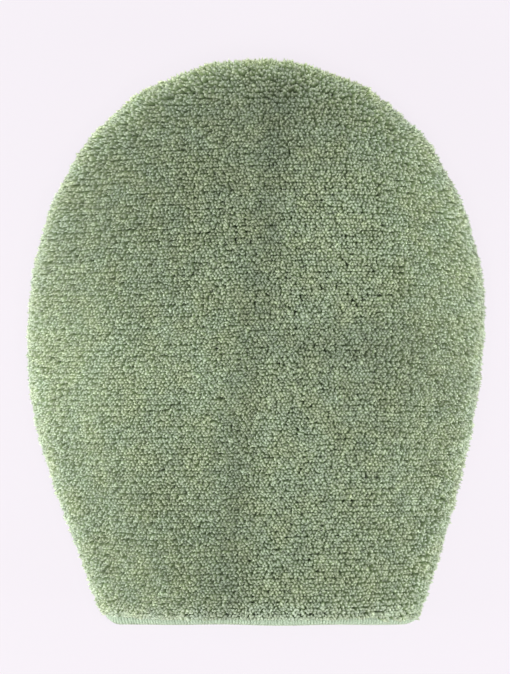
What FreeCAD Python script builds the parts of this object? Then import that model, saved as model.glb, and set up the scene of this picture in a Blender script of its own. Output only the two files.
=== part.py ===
# Grooming mitt: two panels of cut pile, each on its own ground cloth, wadding and lining, sewn
# together round the rim and overlocked inside, with one serged edge round the open cuff.
# It lies on its back panel: X runs across the hand, Y from the cuff to the fingertips and Z up
# through the palm panel. The origin is under its middle, on the surface that it lies on.
import FreeCAD, Part
import math
import os

import Sketcher
from FreeCAD import Placement, Rotation, Vector

DIMENSIONS = {
    "length": 252.5,             # from the cuff's edge to the crown
    "width": 204.0,              # across the pile at its widest
    "crown_radius": 96.5,        # the outline over the fingertips
    "widest_height": 133.0,      # the widest place, above the cuff's edge
    "waist_radius": 220.0,       # the outline from the widest place towards the wrist
    "side_taper": 18.5,          # degrees between each straight side and the Y axis
    "pile": 8.0,
    "ground": 1.2,
    "wadding": 2.0,
    "lining": 0.8,
    "rim_radius": 15.0,          # the pile's section just beside the rim seam
    "shoulder_radius": 60.0,     # the pile's section where its slope runs into the flat
    "palm_rise": 26.0,           # from the seam's plane to the top of the palm panel
    "palm_roll": 50.0,           # from the rim inwards to the palm's flat
    "back_rise": 23.0,
    "back_roll": 42.0,
    "pile_setback": 4.5,         # bare ground cloth between the cuff's edge and the pile
    "serging_height": 5.0,
    "serging_thickness": 0.8,
    "seam_allowance": 6.0,       # ground cloth turned in at the rim seam
    "overlock_reach": 1.8,       # how far the overlock thread lies on the seam allowance
    "overlock_thickness": 0.6,
    "bartack_length": 8.0,
    "bartack_height": 10.0,      # the bartack's middle, above the cuff's edge
    "bartack_reach": 1.2,
    "bartack_thickness": 0.5,
    "overrun": 25.0,             # how far each sweep runs past the cuff before it is trimmed
}
START, END, CENTRE = 1, 2, 3     # a sketch's names for the points of a line or an arc
ACROSS, UP = -1, -2              # a sketch's own two axes
NORMAL = Vector(0, 0, 1)


class Size:
    """A length that knows its value and the sheet formula that gives it."""

    def __init__(self, value, formula):
        self.value = value
        self.formula = formula

    def __add__(self, other):
        return Size(self.value + other.value, f"({self.formula} + {other.formula})")

    def __sub__(self, other):
        return Size(self.value - other.value, f"({self.formula} - {other.formula})")


def cell(name):
    """Return one cell of the sheet."""
    return Size(DIMENSIONS[name], "Dimensions." + name)


NOTHING = Size(0.0, "0")
WHOLE_LENGTH = cell("length")
HALF_WIDTH = Size(DIMENSIONS["width"] / 2, "(Dimensions.width / 2)")

# How deep each layer's outer face lies below the tips of the pile.
PILE_FACE = NOTHING
GROUND_FACE = cell("pile")
WADDING_FACE = GROUND_FACE + cell("ground")
LINING_FACE = WADDING_FACE + cell("wadding")
POCKET_FACE = LINING_FACE + cell("lining")
FLANGE_EDGE = GROUND_FACE + cell("seam_allowance")


def make_sheet(document):
    """Write the driving dimensions into the document's spreadsheet."""
    sheet = document.addObject("Spreadsheet::Sheet", "Dimensions")
    for row, (name, number) in enumerate(DIMENSIONS.items(), start=1):
        sheet.set(f"A{row}", name)
        sheet.set(f"B{row}", str(number))
        sheet.setAlias(f"B{row}", name)
    document.recompute()


def origin_plane(body, role):
    """Return one of a body's own origin planes."""
    return [part for part in body.Origin.OriginFeatures if part.Role == role][0]


def new_body(document, label, turned=0.0):
    """Start a body on the seam's plane, turned over for the back panel."""
    body = document.addObject("PartDesign::Body", label)
    body.Placement = Placement(Vector(), Rotation(Vector(0, 1, 0), turned))
    body.setExpression("Placement.Base.y", "-Dimensions.length / 2")
    body.setExpression("Placement.Base.z", "Dimensions.back_rise")
    return body


def new_sketch(body, name, role, lift=None):
    """Start a sketch on a body's origin plane, lifted off it if asked."""
    sketch = body.newObject("Sketcher::SketchObject", name)
    sketch.AttachmentSupport = [(origin_plane(body, role), "")]
    sketch.MapMode = "FlatFace"
    if lift:
        sketch.setExpression("AttachmentOffset.Base.z", lift.formula)
    return sketch


def rule(sketch, *details):
    """Add one geometric constraint."""
    sketch.addConstraint(Sketcher.Constraint(*details))


def bind(sketch, name, formula, *details):
    """Add one named size and bind it to the sheet."""
    index = sketch.addConstraint(Sketcher.Constraint(*details))
    sketch.renameConstraint(index, name)
    sketch.setExpression("Constraints." + name, formula)


def bind_radius(sketch, name, arc, size):
    """Bind an arc's radius."""
    bind(sketch, name, size.formula, "Radius", arc, size.value)


def locate(sketch, name, kind, item, point, size, before=False):
    """Bind one coordinate of a point. A point before the origin gives its distance as positive."""
    if size.value == 0:
        rule(sketch, "PointOnObject", item, point, ACROSS if kind == "DistanceY" else UP)
        return
    ends = (item, point, ACROSS, START) if before else (ACROSS, START, item, point)
    bind(sketch, name, size.formula, kind, *ends, size.value)


def join(sketch, first, second):
    """Make two points of a sketch one."""
    rule(sketch, "Coincident", *first, *second)


def add_arc(sketch, centre, radius, first, last):
    """Add an arc that turns anticlockwise from its first angle to its last."""
    circle = Part.Circle(centre, NORMAL, radius)
    return sketch.addGeometry(Part.ArcOfCircle(circle, first, last))


def add_line(sketch, start, end):
    """Add a straight line."""
    return sketch.addGeometry(Part.LineSegment(start, end))


def side_taper():
    """Return the angle between a straight side and the Y axis, in radians."""
    return math.radians(DIMENSIONS["side_taper"])


def side_point(height, depth=0.0):
    """Return a point of the left straight side at a height above the cuff, moved inwards."""
    taper = side_taper()
    waist = DIMENSIONS["waist_radius"]
    top = Vector(-HALF_WIDTH.value + waist * (1 - math.cos(taper)),
                 DIMENSIONS["widest_height"] - waist * math.sin(taper))
    foot = Vector(top.x + (top.y - height) * math.tan(taper), height)
    return foot + Vector(math.cos(taper), math.sin(taper)) * depth


def draw_outline(sketch, inset):
    """Draw the left half of the outline, moved inwards: crown, flank and waist arcs, then the side.

    It starts at the crown, and each arc meets the next one tangent to it.
    """
    taper = side_taper()
    widest = cell("widest_height")
    top = WHOLE_LENGTH - inset
    crown = cell("crown_radius") - inset
    half = HALF_WIDTH - inset
    waist = cell("waist_radius") - inset
    down = top.value - crown.value - widest.value
    across = half.value - crown.value
    flank = crown.value + (down ** 2 + across ** 2) / (2 * across)
    turn = 2 * math.atan2(across, down)
    waist_centre = Vector(waist.value - half.value, widest.value)
    waist_end = waist_centre - Vector(math.cos(taper), math.sin(taper)) * waist.value
    run = waist_end.y + DIMENSIONS["overrun"]

    crown_arc = add_arc(sketch, Vector(0, top.value - crown.value), crown.value,
                        math.pi / 2, math.pi - turn)
    flank_arc = add_arc(sketch, Vector(flank - half.value, widest.value), flank,
                        math.pi - turn, math.pi)
    waist_arc = add_arc(sketch, waist_centre, waist.value, math.pi, math.pi + taper)
    side = add_line(sketch, waist_end, waist_end + Vector(math.tan(taper), -1) * run)

    rule(sketch, "Tangent", crown_arc, END, flank_arc, START)
    rule(sketch, "Tangent", flank_arc, END, waist_arc, START)
    rule(sketch, "Tangent", waist_arc, END, side, START)
    rule(sketch, "PointOnObject", crown_arc, START, UP)
    rule(sketch, "PointOnObject", crown_arc, CENTRE, UP)
    rule(sketch, "Horizontal", flank_arc, CENTRE, flank_arc, END)
    locate(sketch, "crown_height", "DistanceY", crown_arc, START, top)
    locate(sketch, "widest_place", "DistanceY", flank_arc, END, widest)
    locate(sketch, "half_width", "DistanceX", flank_arc, END, half, before=True)
    locate(sketch, "run_out", "DistanceY", side, END, cell("overrun"), before=True)
    bind_radius(sketch, "crown", crown_arc, crown)
    bind_radius(sketch, "waist", waist_arc, waist)
    bind(sketch, "taper", "(Dimensions.side_taper - 90) * 1 deg", "Angle", side, taper - math.pi / 2)
    return crown_arc, side


def draw_plate(sketch, inset):
    """Close the moved outline into the half plate of a panel's flat."""
    crown_arc, side = draw_outline(sketch, inset)
    corner = Vector(0, -DIMENSIONS["overrun"])
    foot = add_line(sketch, sketch.getPoint(side, END), corner)
    middle = add_line(sketch, corner, sketch.getPoint(crown_arc, START))
    join(sketch, (side, END), (foot, START))
    join(sketch, (foot, END), (middle, START))
    join(sketch, (middle, END), (crown_arc, START))
    rule(sketch, "Horizontal", foot)
    rule(sketch, "Vertical", middle)


def draw_tips(sketch, panel, construction):
    """Draw the pile's outer face at the crown: rim arc, straight slope, and the shoulder to the flat.

    Returns the three, and how steep the slope is.
    """
    rim = cell("rim_radius")
    shoulder = cell("shoulder_radius")
    rise = cell(panel + "_rise")
    roll = cell(panel + "_roll")
    across = roll.value - rim.value
    spare = 2 * shoulder.value - rise.value - rim.value
    rest = math.sqrt(across ** 2 - spare * (rise.value - rim.value))
    slope = 2 * math.atan((across - rest) / spare)

    up = Vector(math.sin(slope), math.cos(slope))
    rim_centre = Vector(WHOLE_LENGTH.value - rim.value, 0)
    shoulder_centre = Vector(WHOLE_LENGTH.value - roll.value, rise.value - shoulder.value)
    rim_arc = add_arc(sketch, rim_centre, rim.value, 0, math.pi / 2 - slope)
    side = add_line(sketch, rim_centre + up * rim.value, shoulder_centre + up * shoulder.value)
    shoulder_arc = add_arc(sketch, shoulder_centre, shoulder.value, math.pi / 2 - slope, math.pi / 2)
    for item in (rim_arc, side, shoulder_arc):
        sketch.setConstruction(item, construction)

    rule(sketch, "Tangent", rim_arc, END, side, START)
    rule(sketch, "Tangent", side, END, shoulder_arc, START)
    rule(sketch, "PointOnObject", rim_arc, START, ACROSS)
    rule(sketch, "PointOnObject", rim_arc, CENTRE, ACROSS)
    rule(sketch, "Vertical", shoulder_arc, CENTRE, shoulder_arc, END)
    bind_radius(sketch, "rim", rim_arc, rim)
    bind_radius(sketch, "shoulder", shoulder_arc, shoulder)
    locate(sketch, "rim_place", "DistanceX", rim_arc, CENTRE, WHOLE_LENGTH - rim)
    locate(sketch, "roll", "DistanceX", shoulder_arc, END, WHOLE_LENGTH - roll)
    locate(sketch, "rise", "DistanceY", shoulder_arc, END, rise)
    return rim_arc, side, shoulder_arc, slope


def draw_face(sketch, panel, name, depth, foot, side, slope):
    """Draw a cloth's face below the tips: upright at the rim, parallel to the slope, then level."""
    rise = cell(panel + "_rise") - depth
    roll = WHOLE_LENGTH - cell(panel + "_roll")
    place = WHOLE_LENGTH - depth
    tips = sketch.getPoint(side, END)
    below = tips - Vector(math.sin(slope), math.cos(slope)) * depth.value
    corner = Vector(place.value, below.y - (place.value - below.x) * math.tan(slope))
    knee = Vector(below.x - (rise.value - below.y) / math.tan(slope), rise.value)
    upright = add_line(sketch, Vector(place.value, foot.value), corner)
    incline = add_line(sketch, corner, knee)
    level = add_line(sketch, knee, Vector(roll.value, rise.value))

    join(sketch, (upright, END), (incline, START))
    join(sketch, (incline, END), (level, START))
    rule(sketch, "Vertical", upright)
    rule(sketch, "Horizontal", level)
    rule(sketch, "Parallel", incline, side)
    bind(sketch, name + "_depth", depth.formula, "Distance", incline, START, side, depth.value)
    locate(sketch, name + "_place", "DistanceX", upright, START, place)
    locate(sketch, name + "_foot", "DistanceY", upright, START, foot)
    locate(sketch, name + "_rise", "DistanceY", level, START, rise)
    locate(sketch, name + "_roll", "DistanceX", level, END, roll)
    return upright, level


def draw_section(sketch, panel, outer, inner, foot, flange):
    """Draw one layer's section at the crown, between two depths below the tips of the pile.

    A flange, where the layer has one, is its turned-in edge on the seam's plane.
    """
    tips_show = outer is PILE_FACE
    rim_arc, side, shoulder_arc, slope = draw_tips(sketch, panel, not tips_show)
    if tips_show:
        outer_start, outer_end = rim_arc, shoulder_arc
    else:
        outer_start, outer_end = draw_face(sketch, panel, "outer", outer,
                                           NOTHING if flange else foot, side, slope)
    inner_start, inner_end = draw_face(sketch, panel, "inner", inner, foot, side, slope)
    top = add_line(sketch, sketch.getPoint(outer_end, END), sketch.getPoint(inner_end, END))
    join(sketch, (outer_end, END), (top, START))
    join(sketch, (inner_end, END), (top, END))
    if flange:
        draw_flange(sketch, outer_start, inner_start, foot)
    else:
        sole = add_line(sketch, sketch.getPoint(inner_start, START),
                        sketch.getPoint(outer_start, START))
        join(sketch, (inner_start, START), (sole, START))
        join(sketch, (outer_start, START), (sole, END))


def draw_flange(sketch, outer_start, inner_start, thickness):
    """Close a section with the seam allowance, which lies flat on the seam's plane."""
    edge = WHOLE_LENGTH - FLANGE_EDGE
    face = add_line(sketch, sketch.getPoint(inner_start, START), Vector(edge.value, thickness.value))
    raw_edge = add_line(sketch, Vector(edge.value, thickness.value), Vector(edge.value, 0))
    sole = add_line(sketch, Vector(edge.value, 0), sketch.getPoint(outer_start, START))
    join(sketch, (inner_start, START), (face, START))
    join(sketch, (face, END), (raw_edge, START))
    join(sketch, (raw_edge, END), (sole, START))
    join(sketch, (sole, END), (outer_start, START))
    rule(sketch, "Horizontal", face)
    rule(sketch, "Vertical", raw_edge)
    rule(sketch, "Horizontal", sole)
    locate(sketch, "flange_edge", "DistanceX", raw_edge, END, edge)


def draw_clasp(sketch, edge, reach, gap, thickness):
    """Draw a band of thread folded round a flat edge, open towards the rim.

    The edge is as far from the sketch's origin as edge says. The thread reaches over both faces,
    which lie gap above and below the middle.
    """
    inside, outside = edge.value, edge.value - thickness.value
    tip, high = edge.value + reach.value, gap.value + thickness.value
    corners = [Vector(tip, gap.value), Vector(tip, high), Vector(outside, high),
               Vector(outside, -high), Vector(tip, -high), Vector(tip, -gap.value),
               Vector(inside, -gap.value), Vector(inside, gap.value)]
    lines = [add_line(sketch, corner, corners[(index + 1) % 8])
             for index, corner in enumerate(corners)]
    for index, line in enumerate(lines):
        join(sketch, (line, END), (lines[(index + 1) % 8], START))
        rule(sketch, "Horizontal" if index % 2 else "Vertical", line)
    upper_tip, upper_face, back, _, lower_tip, _, fold, _ = lines
    rule(sketch, "Symmetric", upper_tip, START, lower_tip, END, ACROSS)
    rule(sketch, "Equal", upper_tip, lower_tip)
    locate(sketch, "edge", "DistanceX", fold, START, edge)
    locate(sketch, "gap", "DistanceY", upper_tip, START, gap)
    bind(sketch, "upper_thickness", thickness.formula, "DistanceY", upper_tip, thickness.value)
    bind(sketch, "fold_thickness", thickness.formula, "DistanceX", back, START, fold, END,
         thickness.value)
    overall = reach + thickness
    bind(sketch, "overall", overall.formula, "DistanceX", upper_face, END, upper_face, START,
         overall.value)


def draw_band(sketch, low, high, before=False):
    """Draw a rectangle that is wider than the mitt, between two heights above the cuff's edge."""
    half = DIMENSIONS["width"]
    bottom, top = (-low.value if before else low.value), high.value
    corners = [Vector(-half, bottom), Vector(half, bottom), Vector(half, top), Vector(-half, top)]
    lines = [add_line(sketch, corner, corners[(index + 1) % 4])
             for index, corner in enumerate(corners)]
    for index, line in enumerate(lines):
        join(sketch, (line, END), (lines[(index + 1) % 4], START))
        rule(sketch, "Vertical" if index % 2 else "Horizontal", line)
    locate(sketch, "left", "DistanceX", lines[0], START, cell("width"), before=True)
    locate(sketch, "right", "DistanceX", lines[0], END, cell("width"))
    locate(sketch, "low", "DistanceY", lines[0], START, low, before)
    locate(sketch, "high", "DistanceY", lines[2], START, high)


def sweep(body, section):
    """Sweep a section along the left half of the outline."""
    path = new_sketch(body, "outline", "XY_Plane")
    draw_outline(path, NOTHING)
    pipe = body.newObject("PartDesign::AdditivePipe", "half_sweep")
    pipe.Profile = section
    pipe.Spine = path
    return pipe


def mirror(body, features):
    """Repeat the left half's features on the right."""
    mirrored = body.newObject("PartDesign::Mirrored", "both_halves")
    mirrored.Originals = features
    mirrored.MirrorPlane = (origin_plane(body, "YZ_Plane"), [""])
    body.Tip = mirrored


def trim(body, name, low, high, before=False):
    """Cut a band off a panel, right through, and make sure that something came off."""
    body.Document.recompute()
    volume = body.Shape.Volume
    sketch = new_sketch(body, name + "_band", "XY_Plane")
    draw_band(sketch, low, high, before)
    pocket = body.newObject("PartDesign::Pocket", name)
    pocket.Profile = sketch
    pocket.Type = "ThroughAll"
    pocket.SideType = "Symmetric"
    body.Document.recompute()
    if body.Shape.Volume >= volume:
        raise ValueError(f"{body.Label}: {name} cut nothing")


def add_plate(body, panel, outer, inner):
    """Pad the left half of a panel's flat between two depths below the tips of the pile."""
    flat = new_sketch(body, "flat", "XY_Plane", lift=cell(panel + "_rise") - inner)
    draw_plate(flat, cell(panel + "_roll"))
    plate = body.newObject("PartDesign::Pad", "half_plate")
    plate.Profile = flat
    plate.setExpression("Length", (inner - outer).formula)
    return plate


def panel_body(document, label, panel):
    """Start a body of one panel, turned over for the back panel."""
    return new_body(document, label, turned=180.0 if panel == "back" else 0.0)


def make_layer(document, label, panel, faces, foot=NOTHING, flange=False, hem=NOTHING):
    """Make one layer of a panel: a rim swept round the outline, closed by a flat plate."""
    outer, inner = faces
    body = panel_body(document, label, panel)
    section = new_sketch(body, "section", "YZ_Plane")
    draw_section(section, panel, outer, inner, foot, flange)
    mirror(body, [sweep(body, section), add_plate(body, panel, outer, inner)])
    trim(body, "cuff_edge", cell("width"), hem, before=True)
    return body


def make_wadding(document, label, panel, hem):
    """Make the flat pad behind a panel's flat, cut short of the rim so that the seam turns in."""
    body = panel_body(document, label, panel)
    mirror(body, [add_plate(body, panel, WADDING_FACE, LINING_FACE)])
    trim(body, "cuff_edge", cell("width"), hem, before=True)
    return body


def make_panel(document, panel):
    """Make the four layers of one panel, from the pile inwards."""
    cloth_hem = cell("serging_thickness")
    seam = cell("ground")
    return [
        make_layer(document, panel + "_pile", panel, (PILE_FACE, GROUND_FACE),
                   hem=cell("pile_setback")),
        make_layer(document, panel + "_ground_cloth", panel, (GROUND_FACE, WADDING_FACE),
                   foot=seam, flange=True, hem=cloth_hem),
        make_wadding(document, panel + "_wadding", panel, cloth_hem),
        make_layer(document, panel + "_lining", panel, (LINING_FACE, POCKET_FACE),
                   foot=seam, hem=cloth_hem),
    ]


def make_seam_overlock(document):
    """Make the overlock thread round the raw edges of both seam allowances."""
    body = new_body(document, "seam_overlock")
    section = new_sketch(body, "section", "YZ_Plane")
    draw_clasp(section, WHOLE_LENGTH - FLANGE_EDGE, cell("overlock_reach"), cell("ground"),
               cell("overlock_thickness"))
    mirror(body, [sweep(body, section)])
    trim(body, "cuff_edge", cell("width"), cell("serging_height"), before=True)
    return body


def fuse(document, label, pieces):
    """Join solids into one."""
    fused = document.addObject("Part::MultiFuse", label)
    fused.Shapes = pieces
    return fused


def make_cuff_serging(document):
    """Make the serged edge: a skin over both faces and the raw edge of every cloth at the cuff."""
    thread = cell("serging_thickness")
    panels = ("palm", "back")
    wraps = [make_layer(document, panel + "_serged_band", panel,
                        (GROUND_FACE - thread, POCKET_FACE + thread)) for panel in panels]
    for wrap in wraps:
        trim(wrap, "serged_edge", cell("serging_height"), WHOLE_LENGTH + cell("serging_height"))
    cores = [make_layer(document, panel + "_cloths", panel, (GROUND_FACE, POCKET_FACE),
                        foot=cell("ground"), flange=True, hem=thread) for panel in panels]
    serging = document.addObject("Part::Cut", "cuff_serging")
    serging.Base = fuse(document, "serged_bands", wraps)
    serging.Tool = fuse(document, "serged_cloths", cores)
    return serging


def make_bartack(document, side):
    """Make the dense stitches across the overlock that lock one end of the rim seam."""
    body = document.addObject("PartDesign::Body", side + "_bartack")
    section = new_sketch(body, "section", "XZ_Plane")
    gap = cell("ground") + cell("overlock_thickness")
    draw_clasp(section, NOTHING, cell("bartack_reach"), gap, cell("bartack_thickness"))
    pad = body.newObject("PartDesign::Pad", "stitches")
    pad.Profile = section
    pad.SideType = "Symmetric"
    pad.setExpression("Length", "Dimensions.bartack_length")
    depth = FLANGE_EDGE + cell("overlock_thickness")
    place = side_point(DIMENSIONS["bartack_height"], depth.value)
    place += Vector(0, -WHOLE_LENGTH.value / 2, DIMENSIONS["back_rise"])
    turned = 180.0 + DIMENSIONS["side_taper"]
    if side == "right":
        place.x = -place.x
        turned = -DIMENSIONS["side_taper"]
    body.Placement = Placement(place, Rotation(NORMAL, turned))
    return body


def check(document, nodes):
    """Stop if an object failed or a node isn't one sound solid."""
    document.recompute()
    for item in document.Objects:
        if "Invalid" in item.State or "Error" in item.State:
            raise ValueError(f"{item.Label}: {item.State}")
    for node in nodes:
        shape = node.Shape
        if shape.isNull() or not shape.isValid() or len(shape.Solids) != 1:
            raise ValueError(f"{node.Label} isn't one sound solid")


def main():
    """Build the mitt and write one STEP file for each of its pieces."""
    document = FreeCAD.newDocument("grooming_mitt")
    make_sheet(document)
    nodes = make_panel(document, "palm") + make_panel(document, "back")
    nodes.append(make_seam_overlock(document))
    nodes.append(make_cuff_serging(document))
    nodes += [make_bartack(document, side) for side in ("left", "right")]
    check(document, nodes)
    os.makedirs("parts", exist_ok=True)
    for node in nodes:
        node.Shape.exportStep(f"parts/{node.Label}.step")
        print(f"{node.Label}: {node.Shape.Volume:.0f} mm3")


main()
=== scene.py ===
"""The looks of the grooming mitt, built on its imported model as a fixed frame.

Both panels are cut-pile cloth. The pile is real: rows of stitches, each with three cut yarn ends,
which stand on the ground cloth and end at the model's outer face. The cloths, linings, waddings
and threads are pieces of their own, laid where the model has them."""

import math
from types import SimpleNamespace

import bmesh
import bpy
import numpy as np
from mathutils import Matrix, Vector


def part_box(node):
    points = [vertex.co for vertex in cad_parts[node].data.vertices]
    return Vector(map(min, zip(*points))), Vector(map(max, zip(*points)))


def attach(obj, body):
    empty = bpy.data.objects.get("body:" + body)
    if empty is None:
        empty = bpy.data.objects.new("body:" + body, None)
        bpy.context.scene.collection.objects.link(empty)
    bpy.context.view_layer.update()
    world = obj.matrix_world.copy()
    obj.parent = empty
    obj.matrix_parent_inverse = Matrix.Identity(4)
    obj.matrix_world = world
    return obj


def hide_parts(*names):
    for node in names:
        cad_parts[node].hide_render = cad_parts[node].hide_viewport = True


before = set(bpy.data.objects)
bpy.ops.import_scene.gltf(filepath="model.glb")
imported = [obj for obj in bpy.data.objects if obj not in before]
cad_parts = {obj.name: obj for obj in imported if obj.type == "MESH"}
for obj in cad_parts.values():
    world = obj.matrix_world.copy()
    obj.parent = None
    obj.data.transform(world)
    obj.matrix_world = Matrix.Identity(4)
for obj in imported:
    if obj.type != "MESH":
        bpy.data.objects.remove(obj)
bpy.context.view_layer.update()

MM = 0.001
SEED = 921

# The drawing, as the model has it. What a node's box gives is read from there.
CROWN_RADIUS = 96.5 * MM
WIDEST_HEIGHT = 133 * MM
WAIST_RADIUS = 220 * MM
SIDE_TAPER = math.radians(18.5)
RIM_RADIUS = 15 * MM
SHOULDER_RADIUS = 60 * MM
PALM_ROLL = 50 * MM
BACK_ROLL = 42 * MM

palm_low, palm_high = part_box("palm_pile")
cuff_low, cuff_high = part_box("cuff_serging")
HALF_WIDTH = palm_high.x
CROWN_TOP = palm_high.y
CUFF = cuff_low.y
BAND_TOP = cuff_high.y
PILE_EDGE = palm_low.y
SEAM = palm_low.z
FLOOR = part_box("back_pile")[0].z
ground_top, wadding_top, lining_top = (
    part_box(f"palm_{layer}")[1].z for layer in ("ground_cloth", "wadding", "lining")
)
PILE = palm_high.z - ground_top
GROUND = ground_top - wadding_top
WADDING = wadding_top - lining_top
LINING = 0.8 * MM
INNER = PILE + GROUND + WADDING + LINING

# The outline's arcs, from the drawing. All centres are on the middle line or past it.
CROWN_Y = CROWN_TOP - CROWN_RADIUS
WIDEST_Y = CUFF + WIDEST_HEIGHT
crown_spare = HALF_WIDTH - CROWN_RADIUS
FLANK_SHIFT = ((CROWN_Y - WIDEST_Y) ** 2 - crown_spare**2) / (2 * crown_spare)
FLANK_RADIUS = HALF_WIDTH + FLANK_SHIFT
FLANK_TURN = math.atan2(CROWN_Y - WIDEST_Y, FLANK_SHIFT)
WAIST_SHIFT = WAIST_RADIUS - HALF_WIDTH

# The straight side, from where the waist's arc ends down to the cuff.
TAPER_COS = math.cos(SIDE_TAPER)
TAPER_SIN = math.sin(SIDE_TAPER)
SIDE_X = WAIST_RADIUS * TAPER_COS - WAIST_SHIFT
SIDE_Y = WIDEST_Y - WAIST_RADIUS * TAPER_SIN

# How finely the smooth surfaces are divided.
RIM_STEPS = 10
SHOULDER_STEPS = 12
MIDDLE_STEPS = 6
CROWN_SPOKES, FLANK_SPOKES, WAIST_SPOKES, SIDE_SPOKES = 44, 16, 18, 24
THREAD_SIDES = 6
MAP_MARGIN = 0.05  # of a tube's cell on its map

# The rows of stitches.
GAUGE = 2.52 * MM  # between rows
STITCH = 2.2 * MM  # between stitches in a row
ROW_DRIFT = 0.05  # how far each row slips along from the one before, in stitches
NEEDLE_ERROR_X = 0.13 * MM
NEEDLE_ERROR_Y = 0.09 * MM
LAY_DEPTH = 2.5 * MM  # the stitches are evenly spaced this far under the tips
SEAM_SPARE = 0.8 * MM  # stitches this far past the rim's seam are kept
SEAM_INSET = 0.3 * MM  # and count as this far inside it
CORNER_RISE = 6 * MM  # how much higher the pile stops at the cuff's left corner
CORNER_REACH = 6 * MM

# The yarn ends of a stitch.
LEGS = 3
LEG_GAP = 0.6  # how far apart their roots stand, against their tips
ROW_SPLAY = 0.608 * MM  # every other end leans up from its row, and the rest down
ROOT_SINK = 0.4 * MM  # the yarn starts this far inside the ground cloth
BEND_HEIGHT = 0.65  # of the pile's, where a yarn end bends over
YARN_BEND = 0.3 * MM  # how far a yarn end's bend lies out of line
YARN_RADIUS = 0.8 * MM
YARN_SCATTER = 0.13  # of the radius
YARN_LIMITS = (0.7, 1.4)
YARN_SIDES = 5
YARN_RINGS = np.array([0.0, 0.76, 0.92])  # where its rings are, of its length
YARN_SWELL = np.array([1.3, 1.5, 0.85])  # each ring's radius, in yarn radii
RIM_SLIM = np.array([0.1, 0.4, 0.7])  # how much slimmer each ring is at the rim
CROWN_SLIM = 0.25  # and how much more of that at the crown's
CUFF_SLIM = np.array([0.4, 0.3, 0.1])
CUFF_BAND = 2.5 * MM  # the yarn ends are slimmer this near to the hem
PLY_LOBE = 0.28  # how far the two plies bulge, of the radius
PLY_TURN = 2.4  # radians that they turn from root to tip

# The pile's edges: it stands straight and loose there, and painted light makes it pale there.
RIM_BAND = 12 * MM  # painted light makes the pile paler, and it is less even, this near to the rim's seam
RIM_FRINGE = 6 * MM  # and straight and loose this near to it
EDGE_PAINTED_LIGHT = 0.15  # painted light: how much further down a yarn end is painted pale, along the edges
CUFF_CALM = 7 * MM  # the nap comes in over this length from the cuff
CUFF_OVERHANG = 0.2 * MM  # how far the lowest tips hang over the hem

# How the nap lies over.
TUFT_LEAN = 0.07 * MM
FRINGE_LEAN = 7  # how many times more the tufts lean at random, along the rim
NAP_LEAN = 2.3 * MM  # away from the nap's parting, a half width from it
NAP_PARTING = 0.45  # of the half width, right of the middle
NAP_DOWN = 0.85  # of the nap's lean, towards the cuff
RIM_LEAN = 5 * MM  # more of it, near the upper rim
RIM_LEAN_OUT = 0.8  # of that, outwards at the widest place
RIM_LEAN_DOWN = (0.15, 0.6)  # and towards the cuff: everywhere, and more to the right
RIM_REACH = 34 * MM
RIM_LEAN_START = (15 * MM, 30 * MM)  # the height where it comes in, and over what length
RIM_LEAN_SLANT = 0.4  # how much lower, for each step to the right
CROWN_PART = 3 * MM  # outwards, in a band along the crown's rim
PART_MIDDLE = 11 * MM
PART_WIDTH = 8 * MM
SWIRL = 0.3 * MM

# How even the tips are.
TIP_SCATTER = 0.22 * MM
BAND_SCATTER = 1.5  # how many times more of it, along the rim
RUFFLE_SCATTER = 1.2  # and in a band along the crown's rim
RUFFLE_MIDDLE = 16 * MM
RUFFLE_WIDTH = 14 * MM
LENGTH_SCATTER = 0.2 * MM
SHORT_MEAN = 0.4  # how short the ends are, in length scatters
SHORT_FRINGE = 1.6  # more of it, along the rim
SHORT_TUFTS = 2  # whole tufts at random, along the rim
SHORT_WAVES = 1.2  # and in waves round it
SHORT_LIMITS = (-2.5, 3)
CROWN_UNEVEN = 1.5  # how many times more the ends differ, at the crown's rim
LOOSE_FRINGE = 3  # how many times more it all is, along the rim

# The loose fibres of a yarn end.
FIBRES = 4
FIBRE_START = 0.62  # of the yarn end's length
FIBRE_BEND = 0.86
FIBRE_HEIGHT = 0.96  # of the pile's, for a fibre's colour
FIBRE_RADIUS = 0.17 * MM
FIBRE_SPLAY = 0.5 * MM
FIBRE_RISE = 0.25 * MM
FIBRE_CALM = 0.3  # how much less they splay, along the rim
FIBRE_TRIM = 2  # and how many rises shorter they are there
FIBRE_ACROSS = np.array([0.31, 0.17, 0.0])  # a direction that no fibre follows

# How pale the yarn is: at random, and with painted light and shade.
OWN_TONE = 0.5
TUFT_TONE = 0.03  # at random, by tuft, yarn end and fibre
YARN_TONE = 0.19
FIBRE_TONE = 0.2
PAINTED_SHADING_TONE = 0.25  # painted light and shade: from place to place, along the rim and at the cuff
RIM_PAINTED_LIGHT = 0.25
RIM_PAINTED_LIGHT_SLOPE = 0.15  # how much less of it there is on the right, and more on the left
CUFF_PAINTED_LIGHT = 0.25
CUFF_PAINTED_LIGHT_REACH = 5 * MM

# The soft crease down the middle, the fold across the right half, and how the mitt lies.
CREASE_DEPTH = 1.6 * MM
CREASE_WIDTH = 9 * MM
CREASE_SLANT = 0.115
FOLD_SHARE = 0.7  # of the crease's depth
FOLD_WIDTH = 8 * MM
FOLD_START = (6 * MM, 6 * MM)  # where the fold starts, and over what length
FOLD_END = (70 * MM, 9 * MM)
SWELL = 0.35 * MM  # of the cloth's slow waves
LEVEL_POWER = 4  # keeps the slack to where the cloth lies level
SWAY = 1.4 * MM  # to the side
SWAY_TOP = 20 * MM  # the mitt sways from here down
SWAY_LENGTH = 185 * MM
SPREAD = 1.1 * MM  # how much wider each side is near the cuff
SPREAD_START = (85 * MM, 12 * MM)  # below the sway's top
RIM_BUMPS = 0.6 * MM
BUMP_TURN = math.radians(16.2)
BUMP_PLACE = math.radians(18)  # where one of the bumps is
BUMP_BOTTOM = 10 * MM
BUMP_RISE = CROWN_RADIUS / 3  # over what length they come in above the bottom
BUMP_GAP = 40 * MM  # and beside the middle line
BUMP_FALL = 4  # the power by which they fall away inwards

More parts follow.
